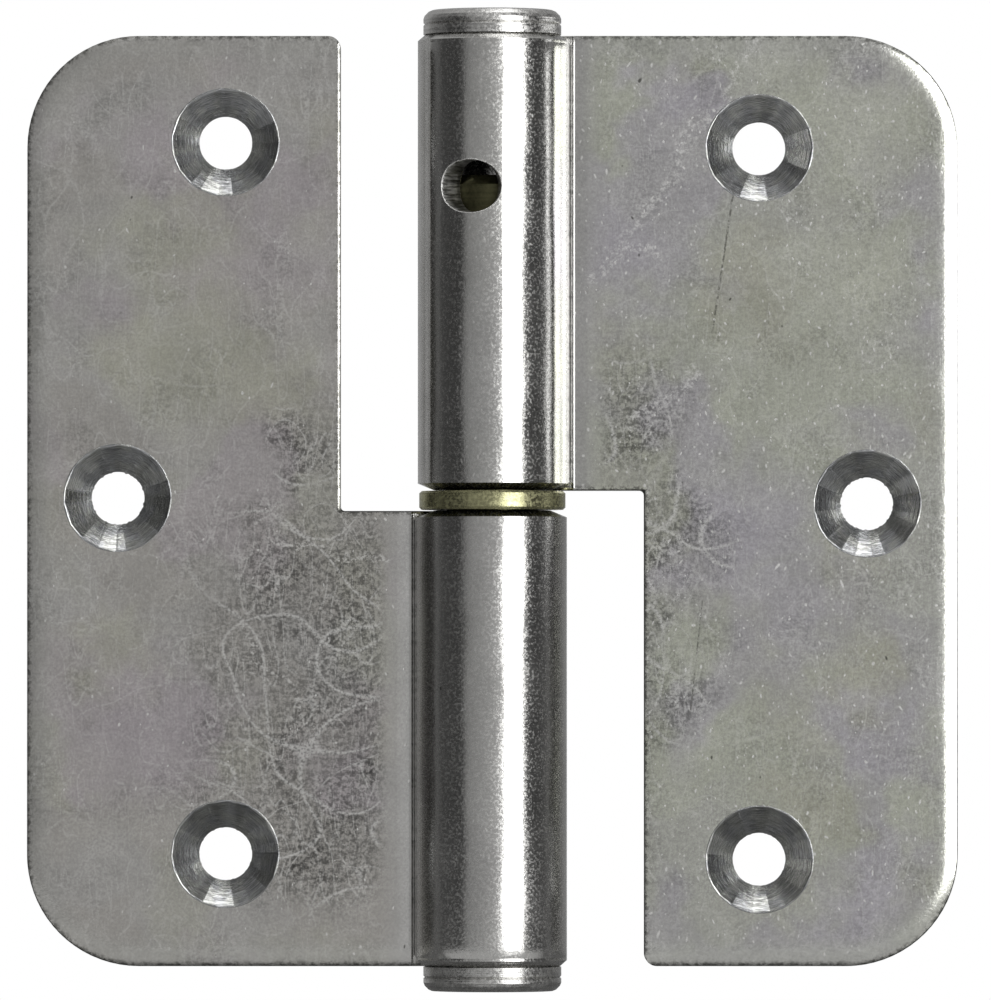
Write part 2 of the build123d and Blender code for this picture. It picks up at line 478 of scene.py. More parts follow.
def patches(g, face, spots):
    """Several soft round patches together, each (x, z, radius) in millimetres on the face."""
    cover = 0.0
    for x, z, size in spots:
        far = g.vector("DISTANCE", face, (x, 0.0, z))
        cover = g.math("MAXIMUM", cover, g.span(far, size * 0.15, size * 1.15, 1.0, 0.0))
    return cover


def contour(g, flat, angle, across, along, width):
    """Long gentle scratches: the narrow band round the middle value of a noise, stretched one way."""
    stretched = g.turned(flat, angle, across, along)
    level = g.math("ABSOLUTE", g.math("SUBTRACT", g.noise(stretched, 1.0, 0.0), 0.5))
    return g.span(level, 0.0, width, 1.0, 0.0)


def cut_line(g, face, start, end, width):
    """One straight mark from start to end, (x, z) in millimetres.

    It is 1 along the line and falls to 0 at the width beside it and at its ends.
    """
    run = (end[0] - start[0], 0.0, end[1] - start[1])
    length = math.hypot(*run)
    middle = ((start[0] + end[0]) / 2, 0.0, (start[1] + end[1]) / 2)
    from_middle = g.vector("SUBTRACT", face, middle)
    way = (run[0] / length, 0.0, run[2] / length)
    along = g.math("ABSOLUTE", g.vector("DOT_PRODUCT", from_middle, way))
    across = g.math("ABSOLUTE", g.vector("DOT_PRODUCT", from_middle, (way[2], 0.0, -way[0])))
    inside = g.span(along, length / 2 - 0.5, length / 2, 1.0, 0.0)
    return g.product(g.span(across, width * 0.4, width, 1.0, 0.0), inside)


def film_colour(g, leaf, finish, look):
    """Colour of the zinc and its film: clouds and patches of tints, another tint along the outline
    and plain zinc on the barrel and the bend."""
    tint_place = g.vector("ADD", leaf.flat, g.vector("SCALE", leaf.wander, scale=9.0))
    tint = g.node_outputs("ShaderNodeSeparateColor", g.noise(tint_place, 0.06, 1.0, 0.5, colour=True))
    colour = g.mix(g.span(tint[0], 0.44, 0.62, 0.0, 0.5), look["main"], finish.zinc)
    colour = g.mix(g.span(tint[1], 0.50, 0.68, 0.0, 0.4), colour, finish.straw)
    colour = g.mix(g.span(tint[2], 0.50, 0.66, 0.0, 0.7), colour, look["film"])
    for spots, tone, share in (
        (look["straw"], finish.straw, 0.75),
        (look["violet"], look["film"], 0.8),
        (look["fresh"], finish.fresh, 0.8),
    ):
        if spots:
            colour = g.mix(g.product(patches(g, leaf.drifted, spots), leaf.front, share), colour, tone)
    band = g.product(g.span(leaf.off_edge, 1.2, 3.6, 0.7, 0.0), leaf.front)
    colour = g.mix(band, colour, look["border"])
    plain = g.math("MAXIMUM", leaf.barrel, g.span(leaf.beside, 9.0, 12.5, 1.0, 0.0))
    return g.mix(g.product(plain, 0.95), colour, finish.zinc)


def wear(g, leaf, look):
    """How worn the leaf is at each place, and the dark mottle that shows there."""
    cover = g.product(patches(g, leaf.drifted, look["worn"]), leaf.front)
    worn = g.product(g.total(g.span(leaf.broad[2], 0.48, 0.72, 0.05, 0.35), cover), leaf.off_bend)
    coarse = g.total(g.product(leaf.mottle, 0.8), g.product(leaf.grain, 0.2))
    return worn, g.product(g.span(coarse, 0.40, 0.60, 1.0, 0.0), worn)


def scratches(g, leaf, worn, look):
    """Share of bare metal in a web of hairlines, long arcs in the worn areas, and scuffs."""
    web = 0.0
    for angle, across, along, width, strength in (
        (0.3, 0.16, 0.14, 0.018, g.span(leaf.broad[0], 0.42, 0.52)),
        (math.radians(35.0), 0.42, 0.12, 0.026, g.span(leaf.broad[1], 0.44, 0.54)),
        (math.radians(-50.0), 0.50, 0.11, 0.030, g.span(leaf.broad[2], 0.40, 0.52)),
        (math.radians(66.0), 0.9, 0.20, 0.035, look["hairs"]),
        (math.radians(112.0), 0.8, 0.17, 0.035, look["hairs"]),
    ):
        lines = contour(g, leaf.flat, angle, across, along, width)
        web = g.math("MAXIMUM", web, g.product(lines, strength))
    arcs = g.math(
        "MAXIMUM",
        contour(g, leaf.flat, math.radians(20.0), 0.085, 0.12, 0.026),
        contour(g, leaf.flat, math.radians(-35.0), 0.10, 0.075, 0.022),
    )
    marks = g.math(
        "MAXIMUM",
        g.product(web, leaf.off_bend, g.span(worn, 0.0, 1.0, 0.28, 0.50)),
        g.product(arcs, leaf.off_bend, g.span(worn, 0.1, 0.8, 0.12, 0.62)),
    )
    waved = adrift(g, leaf.face, leaf.wander, SCUFF_DRIFT)
    for start, end, width in look["scuffs"]:
        scuff = g.product(cut_line(g, waved, start, end, width), g.span(leaf.mottle, 0.46, 0.60), 0.6)
        marks = g.math("MAXIMUM", marks, scuff)
    return g.product(marks, g.span(leaf.grain, 0.30, 0.55, 0.3, 1.0))


def specks(g, leaf, threshold):
    """Bright specks, fewer for a higher threshold, and rare dark pits, each with its own size."""
    place = g.vector("ADD", leaf.flat, g.vector("SCALE", leaf.wander, scale=3.0))
    cell = g.cells(g.turned(place, 0.4, 1.0, 0.6), 1.15)
    pick, size, _ = g.split(cell["Color"])
    reach = g.math("DIVIDE", cell["Distance"], g.span(size, 0.0, 1.0, 0.4, 1.35))
    dot = g.span(reach, 0.06, 0.13, 1.0, 0.0)
    bright = g.product(dot, g.math("GREATER_THAN", pick, threshold))
    return bright, g.product(dot, g.math("LESS_THAN", pick, 0.003))


def soiled_and_shaded(g, leaf, colour):
    """The colour with dirt on the sheet's cut sides, painted shade along the very edge of its face, and
    a thin painted shadow line round the notch. The other value is 1 on the cut sides."""
    facing = g.math("ABSOLUTE", g.split(g.node("ShaderNodeTexCoord").outputs["Normal"])[1])
    off_barrel = g.math("SUBTRACT", 1.0, leaf.barrel)
    side = g.product(g.span(facing, 0.80, 0.96, 1.0, 0.0), off_barrel)
    colour = g.mix(g.product(side, g.span(leaf.mottle, 0.38, 0.48, 0.6, 0.0)), colour, SIDE_DIRT)
    reach = g.span(leaf.mottle, 0.40, 0.58, 0.75, 0.18)
    # Painted shade along the face's outline and notch, broken by the mottle and kept off the last
    # millimetre at the lit right edge
    painted_edge_shade = g.product(
        g.span(g.math("MINIMUM", leaf.off_edge, leaf.off_notch), 0.03, reach, 1.0, 0.0),
        g.span(leaf.mottle, 0.42, 0.58, 0.85, 0.35),
        g.span(leaf.deep, 0.3, 0.5, 1.0, 0.0),
        leaf.off_right,
        off_barrel,
    )
    colour = g.mix(painted_edge_shade, colour, EDGE_SHADE)
    # Painted shadow: a thin near-black line round the notch, where the face meets the gap beside the
    # other knuckle
    near_face = g.math("LESS_THAN", leaf.deep, 1.0)
    line = g.product(g.span(leaf.off_notch, 0.07, 0.16, 1.0, 0.0), near_face, 0.9)
    return g.mix(line, colour, NOTCH_SHADOW_LINE), side


def leaf_relief(g, leaf, look):
    """Height of the leaf's bumps: grain, drawing lines that are deeper up the barrel's sides, the
    barrel's slow swell and flattened side, a pressed ridge beside its lip, and a roll that takes
    the edges' narrow bevel over into the face."""
    drawn = g.node("ShaderNodeTexNoise", noise_dimensions="1D")
    g.feed(drawn.inputs["W"], g.math("DIVIDE", g.split(leaf.flat)[0], 0.45))
    sides = g.product(g.span(leaf.beside, 6.0, 7.4), leaf.barrel)
    curl = g.product(g.math("ARCTAN2", leaf.beside, g.product(leaf.y, -1.0)), BARREL_RADIUS / MM)
    swell = g.product(g.noise(g.turned(leaf.flat, 0.0, 0.16, 0.09), 1.0, 1.0), 7.0)
    flattened = g.product(g.span(curl, 7.4, 9.2), look["flat_side"])
    near = g.span(leaf.off_edge, 0.0, 2.8, 1.0, 0.0, smooth=False)
    bevel = g.span(leaf.off_edge, 0.0, 1.0, 1.0, 0.0, smooth=False)
    off_lip = g.math("DIVIDE", g.math("SUBTRACT", leaf.beside, LIP_RIDGE), LIP_RIDGE_WIDTH)
    ridge = g.math("EXPONENT", g.product(off_lip, off_lip, -1.0))
    return g.total(
        g.product(leaf.grain, g.total(0.30, g.product(leaf.barrel, 0.05))),
        g.product(leaf.barrel, g.math("SUBTRACT", swell, flattened)),
        g.product(drawn.outputs["Fac"], g.total(0.10, g.product(sides, 0.55))),
        g.product(ridge, g.math("LESS_THAN", leaf.deep, 1.4), 2.2),
        g.product(g.total(g.product(near, near, near, -17.0), g.product(bevel, 9.1)), leaf.front),
    )


def leaf_zinc(name, sizes, finish, look):
    """Zinc plating with a tinted film, wear, scratches, specks, cuts, dirt and painted edge shade over
    its relief. The barrel has matt spots besides."""
    material, g = new_material(name)
    leaf = leaf_fields(g, sizes, look)
    worn, dark = wear(g, leaf, look)
    bright, pits = specks(g, leaf, look["dots"])
    marks = g.math("MAXIMUM", scratches(g, leaf, worn, look), g.product(bright, 0.8))
    level = g.total(
        1.0,
        g.span(leaf.grain, 0.30, 0.70, -0.06, 0.06, smooth=False),
        g.span(leaf.mottle, 0.30, 0.70, -look["mottle"], look["mottle"], smooth=False),
        g.span(leaf.broad[1], 0.30, 0.70, -0.05, 0.05, smooth=False),
        g.product(dark, g.span(leaf.broad[0], 0.35, 0.62, -0.36, -0.52)),
        g.product(worn, -0.09),
    )
    colour = g.mix(marks, g.shade(film_colour(g, leaf, finish, look), level), finish.scratch)
    for start, end, width in look["cuts"]:
        broken = g.span(leaf.mottle, 0.47, 0.53) if width < 0.25 else 1.0
        cut = g.product(cut_line(g, leaf.face, start, end, width), g.product(broken, leaf.front, 0.75))
        colour = g.mix(cut, colour, CUT_DARK)
    colour = g.mix(g.product(pits, 0.8), colour, PIT_DARK)
    # Dirt on the cut sides, painted shade along the face's edges and a painted shadow line round the
    # notch
    colour, side = soiled_and_shaded(g, leaf, colour)
    matt = g.span(g.total(leaf.grain, g.product(leaf.mottle, 0.6)), 0.72, 1.04)
    roughness = g.total(
        g.span(leaf.broad[0], 0.3, 0.7, 0.15, 0.19),
        g.product(marks, 0.12),
        g.product(leaf.barrel, matt, 0.14),
        g.product(side, 0.24),
    )
    g.metal(colour, roughness, leaf_relief(g, leaf, look), 0.022)
    return material


def turned_metal(name, plain, seed, roughness, lines, depth):
    """Turned metal of one plain colour: fine rings round the pin's axis, from a noise that changes
    fast with the distance from the axis and with height, and slowly round it. More lines make the
    rings finer, and depth is the height of the bumps in millimetres."""
    material, g = new_material(name)
    place = g.object_place()
    x, y, z = g.split(place)
    from_axis = g.vector("LENGTH", g.join(x, y, 0.0))
    around = g.total(g.product(x, 0.18), g.product(y, 0.18), seed)
    rings = g.join(g.product(from_axis, lines), g.product(z, lines), around)
    line = g.noise(rings, 1.0, 3.0, 0.65, flat=False)
    grain = g.noise(place, 3.0, 3.0, 0.7, flat=False)
    cloud = g.noise(g.vector("ADD", place, (seed, 0.0, seed)), 0.35, 2.0, flat=False)
    level = g.total(
        1.0,
        g.span(line, 0.3, 0.7, -0.16, 0.16),
        g.span(grain, 0.3, 0.7, -0.16, 0.16),
        g.span(cloud, 0.3, 0.7, -0.10, 0.10),
    )
    rough = g.total(roughness, g.span(grain, 0.45, 0.62, -0.10, 0.12))
    g.metal(g.shade(plain, level), rough, g.total(line, g.product(grain, 0.8)), depth)
    return material


def cut_zinc(name, finish):
    """Plated metal of a cut recess: rings round it and flats that differ from hole to hole, both
    laid out by the piece's own map. Its colour is darker than the face's zinc, which paints the
    recess's shade, with real straw clouds in it."""
    material, g = new_material(name)
    place = g.object_place()
    around, down, _ = g.split(g.node("ShaderNodeUVMap", uv_map="cut").outputs[0])
    by_hole = g.vector("DOT_PRODUCT", place, (0.3, 0.0, 1.0))
    rings = g.noise(g.join(g.product(around, 13.0), g.product(down, 52.0), 0.0), 1.0, 2.0, 0.65)
    grain = g.noise(place, 3.5, 3.0, 0.7, flat=False)
    cloud = g.noise(place, 0.6, 2.0, flat=False)
    facet = g.noise(g.join(g.product(around, 15.0), g.product(by_hole, 0.21), 0.0), 1.0, 0.0)
    # The recess colour is the face's zinc darkened as painted shade; the straw clouds are a real tint
    colour = g.mix(g.span(cloud, 0.40, 0.60, 0.0, 0.2), finish.recess, finish.straw)
    level = g.total(
        1.0,
        g.span(rings, 0.35, 0.65, -0.25, 0.30),
        g.span(facet, 0.35, 0.65, -0.14, 0.14),
        g.span(grain, 0.3, 0.7, -0.10, 0.10),
    )
    g.metal(
        g.shade(colour, level),
        g.total(0.16, g.span(cloud, 0.3, 0.7, -0.03, 0.04)),
        g.total(rings, g.product(grain, 0.6)),
        0.020,
    )
    return material


def punched_zinc(name, finish):
    """Plated wall of a punched hole: rough, with streaks along the punch that follow its map.
    Painted light makes it brighter near the mouth and painted shade darker deeper in.
    """
    material, g = new_material(name)
    around, down, _ = g.split(g.node("ShaderNodeUVMap", uv_map="cut").outputs[0])
    streaks = g.noise(g.join(g.product(around, 70.0), g.product(down, 4.0), 0.0), 1.0, 3.0, 0.7)
    # Painted light and shade: the zinc is lit up to 1.6 times near the mouth and darkened to half
    # deeper in
    level = g.product(g.span(streaks, 0.35, 0.65, 0.50, 1.80), g.span(down, 0.22, 0.60, 1.60, 0.50))
    colour = g.shade(finish.zinc, g.math("MINIMUM", level, 1.6))
    g.metal(colour, g.span(streaks, 0.3, 0.7, 0.32, 0.50), streaks, 0.08)
    return material


def ring_mesh(name, points):
    """Closed band from points[i, j]: i runs once round and j runs round the band's own section.

    Each face joins four neighbouring points, the last ones to the first ones, so the band has no
    open edge. Its map "cut" holds the share of the way round and of the way along the section.
    """
    rounds, steps, _ = points.shape
    i, j = np.meshgrid(np.arange(rounds), np.arange(steps), indexing="ij")
    i_next = (i + 1) % rounds
    j_next = (j + 1) % steps
    faces = np.stack(
        [i * steps + j, i_next * steps + j, i_next * steps + j_next, i * steps + j_next], axis=-1
    ).reshape(-1, 4)
    mesh = bpy.data.meshes.new(name)
    mesh.vertices.add(rounds * steps)
    mesh.vertices.foreach_set("co", points.reshape(-1).astype(np.float32))
    mesh.loops.add(faces.size)
    mesh.loops.foreach_set("vertex_index", faces.reshape(-1).astype(np.int32))
    mesh.polygons.add(len(faces))
    mesh.polygons.foreach_set("loop_start", np.arange(0, faces.size, 4, dtype=np.int32))
    mesh.polygons.foreach_set("use_smooth", np.ones(len(faces), dtype=bool))
    around = np.stack([i, i + 1, i + 1, i], axis=-1) / rounds
    along = np.stack([j, j, j + 1, j + 1], axis=-1) / steps
    cut_map = mesh.uv_layers.new(name="cut")
    cut_map.data.foreach_set("uv", np.stack([around, along], axis=-1).reshape(-1).astype(np.float32))
    mesh.update(calc_edges=True)
    mesh.validate()
    made = bpy.data.objects.new(name, mesh)
    bpy.context.scene.collection.objects.link(made)
    return made


def chatter(angles, count, rng):
    """Share by which a cutter's flats lie inside the true circle, for each angle.

    The circle is divided into flats of uneven width. On a flat the share is one less the cosine
    of half its width over the cosine of the angle from its middle, plus a small tilt and shift
    of its own.
    """
    widths = rng.uniform(0.6, 1.4, count)
    ends = np.cumsum(widths) / widths.sum() * 2 * np.pi
    starts = ends - widths / widths.sum() * 2 * np.pi
    flat = np.searchsorted(ends, angles, side="right") % count
    half = (ends - starts)[flat] / 2
    local = angles - (starts + ends)[flat] / 2
    chord = 1 - np.cos(half) / np.cos(local)
    tilt = rng.uniform(-0.006, 0.006, count)[flat] * local / half
    shift = rng.uniform(0.0, 0.006, count)[flat]
    return np.maximum(0.85 * chord + tilt + shift, 0.0)


def ragged(angles, rng, harmonics=(5, 8, 13, 21, 34)):
    """Torn edge: the part above zero of some sines round the hole, each with its own phase."""
    phases = rng.uniform(0, 2 * np.pi, len(harmonics))
    waves = sum(np.sin(n * angles + p) for n, p in zip(harmonics, phases))
    return np.maximum(waves / len(harmonics), 0.0)


def recess_section(sizes):
    """Section of a recess skin: for each point its radius, depth, share of the chatter and share of
    the torn edge.

    From the face it climbs to a low rim, runs down the cone and the steeper throat a skin's
    thickness off the metal, turns into the hole, and comes back inside the metal.
    """
    lift = sizes.skin
    mouth = sizes.recess_diameter / 2
    throat = sizes.throat_diameter / 2
    hole = SCREW_HOLE_RADIUS
    bottom = sizes.sheet - sizes.screw_land
    half = sizes.recess_angle / 2
    shoulder = (mouth - throat) / math.tan(half)
    throat_half = math.atan2(throat - hole, bottom - shoulder)
    rim = [
        (mouth + 0.12 * MM, lift, 0.0, 0.0),
        (mouth + 0.07 * MM, 0.1 * lift, 0.0, 0.0),
        (mouth + 0.04 * MM, -0.7 * lift, 0.3, 0.0),
        (mouth - 0.02 * MM, -0.8 * lift, 0.8, 0.0),
    ]
    way = np.linspace(0.07, 1.0, 14)
    cone = np.stack([
        mouth + (throat - mouth) * way - lift * math.cos(half),
        shoulder * way - lift * math.sin(half),
        np.ones_like(way),
        np.zeros_like(way),
    ], axis=-1)
    way = np.linspace(0.1, 0.96, 9)
    steep = np.stack([
        throat + (hole - throat) * way - lift * math.cos(throat_half),
        shoulder + (bottom - shoulder) * way - lift * math.sin(throat_half),
        np.linspace(0.8, 0.0, len(way)),
        np.zeros_like(way),
    ], axis=-1)
    steep[-2:, 3] = (0.3, 0.7)
    land = [
        (hole - 0.4 * lift, bottom - 0.5 * lift, 0.0, 1.0),
        (hole - lift, bottom + lift, 0.0, 1.0),
        (hole - lift, sizes.sheet - lift, 0.0, 0.7),
        (hole + 2 * lift, sizes.sheet - lift, 0.0, 0.0),
    ]
    inside = [
        (hole + 5 * lift, bottom + 5 * lift, 0.0, 0.0),
        (throat, shoulder + 6 * lift, 0.0, 0.0),
        (mouth, 6 * lift, 0.0, 0.0),
    ]
    return np.concatenate([rim, cone, steep, land, inside])


def recess_points(sizes, centre, rng, burr):
    """Points of one recess skin: the section turned round the hole, each radius less its share
    of the chatter and, at the hole, of the torn edge."""
    radius, depth, share, torn = recess_section(sizes).T
    angles = np.linspace(0, 2 * np.pi, 288, endpoint=False)
    flats = chatter(angles, sizes.facets, rng)
    edge = ragged(angles, rng) * burr
    rings = radius[None, :] * (1 - share[None, :] * flats[:, None]) - torn[None, :] * edge[:, None]
    face = LEAF_BACK - sizes.sheet
    x = centre[0] + rings * np.cos(angles)[:, None]
    z = centre[1] + rings * np.sin(angles)[:, None]
    y = np.broadcast_to(face + depth[None, :], x.shape)
    return np.stack([x, y, z], axis=-1)


def mouth_points(sizes, rng):
    """Points of the lining of the oil hole, punched round in the flat sheet before curling.

    At angle t round the hole its edge lies at the side angle whose tangent is that of half the
    hole's spread times cos t, and at sin t times half the hole's height. The section, in shares
    of that edge and radii from the pin's axis, rolls over the barrel's face and runs inwards.
    """
    half = sizes.oil_hole_diameter / 2
    outer = BARREL_RADIUS
    spread = math.tan(half / (outer - sizes.sheet / 2))
    lift = 0.008 * MM
    section = np.array([
        (1.04, 0.10), (1.015, 0.01), (1.000, 0.005), (0.990, 0.03), (0.982, 0.09), (0.978, 0.18),
        (0.975, 0.35), (0.972, 0.9), (0.970, 1.6), (0.970, 2.3), (0.975, 2.85), (1.04, 2.85),
        (1.05, 1.5), (1.05, 0.3),
    ])
    share = section[:, 0]
    depth = section[:, 1] * MM
    radius = outer + lift - depth
    t = np.linspace(0, 2 * np.pi, 160, endpoint=False)
    streak = 1 + 0.010 * ragged(t, rng, (31, 47, 59, 71))
    wall = np.clip((depth - 0.1 * MM) / (0.3 * MM), 0, 1) * (share < 1)
    reach = share[None, :] * (1 - wall[None, :] * (streak[:, None] - 1))
    side = np.arctan(spread * reach * np.cos(t)[:, None])
    facing = -math.pi / 2 - sizes.oil_hole_turn
    x = radius[None, :] * np.cos(facing + side)
    y = radius[None, :] * np.sin(facing + side)
    z = sizes.oil_hole_height + half * reach * np.sin(t)[:, None]
    return np.stack([x, y, z], axis=-1)


def screw_places(leaf):
    """Names and (x, z) places of a leaf's screw holes, read from its mounts."""
    outer = MOUNTS[f"{leaf}_outer_screws"]
    middle = MOUNTS[f"{leaf}_middle_screw"]
    half = outer["dims"]["spacing_y_mm"] * MM / 2
    x, _, z = outer["pos_m"]
    return {
        "top": (x, z + half),
        "middle": (middle["pos_m"][0], middle["pos_m"][2]),
        "bottom": (x, z - half),
    }


def leaf_looks(finish):
    """How each leaf's film and wear lie, with places in millimetres from the middle of the hinge.

    seed sets its noises apart. main, film and border are the colours of most of the face, of the
    film's clouds and of a band along the outline. flat_side is how much the barrel's side is
    flattened. notch is 1 where the notch runs up and -1 where it runs down. dots is the threshold
    of the bright specks, mottle the strength of the fine mottle and hairs that of the finest
    scratches. straw, fresh, violet and worn are patches, each (x, z, radius). scuffs and cuts are
    single marks, each (start, end, width).
    """
    return {
        "lower_leaf": {
            "seed": 3.0,
            "main": (0.560, 0.542, 0.510),
            "film": (0.575, 0.532, 0.552),
            "border": (0.57, 0.565, 0.535),
            "flat_side": 0.0,
            "notch": 1.0,
            "dots": 0.93,
            "mottle": 0.055,
            "hairs": 0.55,
            "straw": (
                (-35.0, 28.0, 9.0), (-38.0, 16.0, 6.0), (-29.0, 16.0, 9.0), (-24.0, 12.0, 7.0),
                (-40.0, -17.0, 6.0),
            ),
            "fresh": (),
            "violet": ((-37.0, 38.0, 7.0), (-36.0, -24.0, 10.0), (-21.0, 34.0, 6.0)),
            "worn": (
                (-16.0, -12.0, 15.0), (-17.0, -23.0, 20.0), (-17.0, -36.0, 12.0), (-23.0, -9.0, 11.0),
                (-20.0, 5.0, 6.5),
            ),
            "scuffs": (((-24.0, -4.0), (-10.5, -7.0), 0.35), ((-28.0, -12.0), (-19.0, -25.0), 0.35)),
            "cuts": (((-40.1, 20.4), (-39.8, 20.0), 0.25), ((-33.1, 18.0), (-32.8, 17.7), 0.25)),
        },
        "upper_leaf": {
            "seed": 8.0,
            "main": tuple(finish.green),
            "film": tuple(finish.violet),
            "border": (0.61, 0.615, 0.57),
            "flat_side": 11.0,
            "notch": -1.0,
            "dots": 0.52,
            "mottle": 0.095,
            "hairs": 0.62,
            "straw": ((28.0, 23.0, 8.0), (40.0, -18.0, 6.0), (34.0, -32.0, 7.0)),
            "fresh": ((33.0, 46.0, 8.0), (41.0, 40.0, 9.0), (39.0, 23.0, 9.0)),
            "violet": (
                (28.0, -3.0, 10.0), (32.0, -11.0, 9.0), (13.0, 25.0, 8.0), (20.0, 44.0, 6.0),
                (43.0, -27.0, 6.0), (41.0, -42.0, 8.0),
            ),
            "worn": ((13.0, 9.0, 9.0), (19.5, -3.0, 7.0), (16.0, -14.0, 6.0), (19.0, -22.5, 6.0)),
            "scuffs": (
                ((29.0, 49.5), (11.0, 23.0), 1.1), ((27.5, 33.0), (35.0, 29.0), 0.3),
                ((14.0, 27.0), (19.0, 26.0), 0.5), ((22.0, 14.0), (14.0, 8.0), 0.9),
            ),
            "cuts": (((26.0, 33.8), (23.6, 17.8), 0.16), ((22.6, -10.5), (21.2, -23.5), 0.10)),
        },
    }


class HINGE_OT_leaf_zinc(bpy.types.Operator):
    """Give both leaves their zinc"""

    bl_idname = "hinge.leaf_zinc"
    bl_label = "Zinc on the leaves"

    def execute(self, context):
        sizes = context.scene.hinge_sizes
        finish = context.scene.hinge_finish
        for leaf, look in leaf_looks(finish).items():
            material = leaf_zinc(f"{leaf}_zinc", sizes, finish, look)
            frame["nodes"][leaf].material_slots[0].material = material
        return {"FINISHED"}


class HINGE_OT_turned_parts(bpy.types.Operator):
    """Give the plugs, the ring and the pin their turned finishes"""

    bl_idname = "hinge.turned_parts"
    bl_label = "Plugs, ring and pin"

    def execute(self, context):
        finish = context.scene.hinge_finish
        for name, plain, seed, roughness, lines, depth, nodes in (
            ("plug_zinc_turned", finish.zinc, 4.0, 0.30, 4.0, 0.028, ("top_plug", "bottom_plug")),
            ("ring_brass_turned", finish.brass, 9.0, 0.33, 4.0, 0.022, ("spacer_ring",)),
            ("pin_steel_turned", finish.pin, 13.0, 0.42, 3.0, 0.006, ("hinge_pin",)),
        ):
            material = turned_metal(name, plain, seed, roughness, lines, depth)
            for node in nodes:
                frame["nodes"][node].material_slots[0].material = material
        return {"FINISHED"}


class HINGE_OT_screw_recesses(bpy.types.Operator):
    """Make the cut skins of the six screw recesses"""

    bl_idname = "hinge.screw_recesses"
    bl_label = "Screw recesses"

    def execute(self, context):
        sizes = context.scene.hinge_sizes
        cut = cut_zinc("recess_zinc", context.scene.hinge_finish)
        rng = np.random.default_rng(23)
        burrs = {"top": 0.05 * MM, "middle": 0.16 * MM, "bottom": 0.08 * MM}
        for leaf, body in LEAVES.items():
            for place, centre in screw_places(leaf).items():
                points = recess_points(sizes, centre, rng, burrs[place])
                skin = ring_mesh(f"{leaf}_{place}_recess", points)
                skin.data.materials.append(cut)
                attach(skin, body)
        return {"FINISHED"}


class HINGE_OT_oil_hole(bpy.types.Operator):
    """Make the punched lining and rolled mouth of the oil hole"""

    bl_idname = "hinge.oil_hole"
    bl_label = "Oil hole"

    def execute(self, context):
        points = mouth_points(context.scene.hinge_sizes, np.random.default_rng(5))
        lining = ring_mesh("oil_hole_lining", points)
        lining.data.materials.append(punched_zinc("punched_zinc", context.scene.hinge_finish))
        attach(lining, LEAVES["upper_leaf"])
        return {"FINISHED"}


# Brightness of the surround, level with the hinge, at angles from the viewer towards the right
SURROUND = (
    (-180.0, 0.37), (-150.0, 0.40), (-135.0, 0.37), (-122.0, 0.21), (-98.0, 0.17), (-86.0, 0.07),
    (-48.0, 0.05), (-40.0, 0.28), (0.0, 0.43), (8.0, 0.47), (16.0, 0.62), (48.0, 0.09), (56.0, 0.05),
    (70.0, 0.05), (90.0, 0.09), (105.0, 0.25), (125.0, 0.19), (150.0, 0.26), (180.0, 0.37),
)


def surround(world, above, below):
    """Soft studio by direction: SURROUND level with the hinge, `above` overhead and `below`
    underneath. The camera sees it white, and so does metal straight behind the hinge."""
    world.use_nodes = True
    g = Graph(world.node_tree)
    x, y, z = g.split(g.node("ShaderNodeTexCoord").outputs["Generated"])
    turn = g.math("ARCTAN2", x, g.math("MULTIPLY", y, -1.0))
    ramp = g.node("ShaderNodeValToRGB")
    g.feed(ramp.inputs[0], g.span(turn, -math.pi, math.pi, smooth=False))
    stops = ramp.color_ramp.elements
    while len(stops) < len(SURROUND):
        stops.new(0.5)
    for stop, (degrees, level) in zip(stops, SURROUND):
        stop.position = degrees / 360 + 0.5
        stop.color = (level, level, level, 1.0)
    light = g.blend(g.span(z, 0.45, 0.95), ramp.outputs[0], above)
    light = g.blend(g.span(z, -0.98, -0.90, 1.0, 0.0), light, below)
    path = g.node("ShaderNodeLightPath").outputs
    shiny = g.math("MAXIMUM", path["Is Glossy Ray"], path["Is Transmission Ray"])
    behind = g.product(shiny, g.span(y, math.cos(math.radians(9.0)), math.cos(math.radians(5.0))))
    white = g.math("MAXIMUM", path["Is Camera Ray"], behind)
    background = g.node("ShaderNodeBackground")
    background.inputs["Color"].default_value = (1.0, 1.0, 1.0, 1.0)
    g.feed(background.inputs["Strength"], g.blend(white, light, 1.0))
    output = g.node("ShaderNodeOutputWorld")
    g.feed(output.inputs["Surface"], background.outputs[0])


def strip_lamp(name, place, target, width, height, level):
    """A soft rectangular lamp at place, facing target. Its power is pi times its area times the
    brightness that metal sees."""
    data = bpy.data.lights.new(name, "AREA")
    data.shape = "RECTANGLE"
    data.size = width
    data.size_y = height
    data.energy = math.pi * width * height * level
    lamp = bpy.data.objects.new(name, data)
    lamp.visible_camera = False
    bpy.context.scene.collection.objects.link(lamp)
    aim(lamp, place, target)
    return lamp


def aim(thing, place, target):
    """Puts a lamp or the camera at place and turns its -Z axis towards target."""
    thing.location = place
    thing.rotation_euler = (Vector(target) - Vector(place)).to_track_quat("-Z", "Y").to_euler()


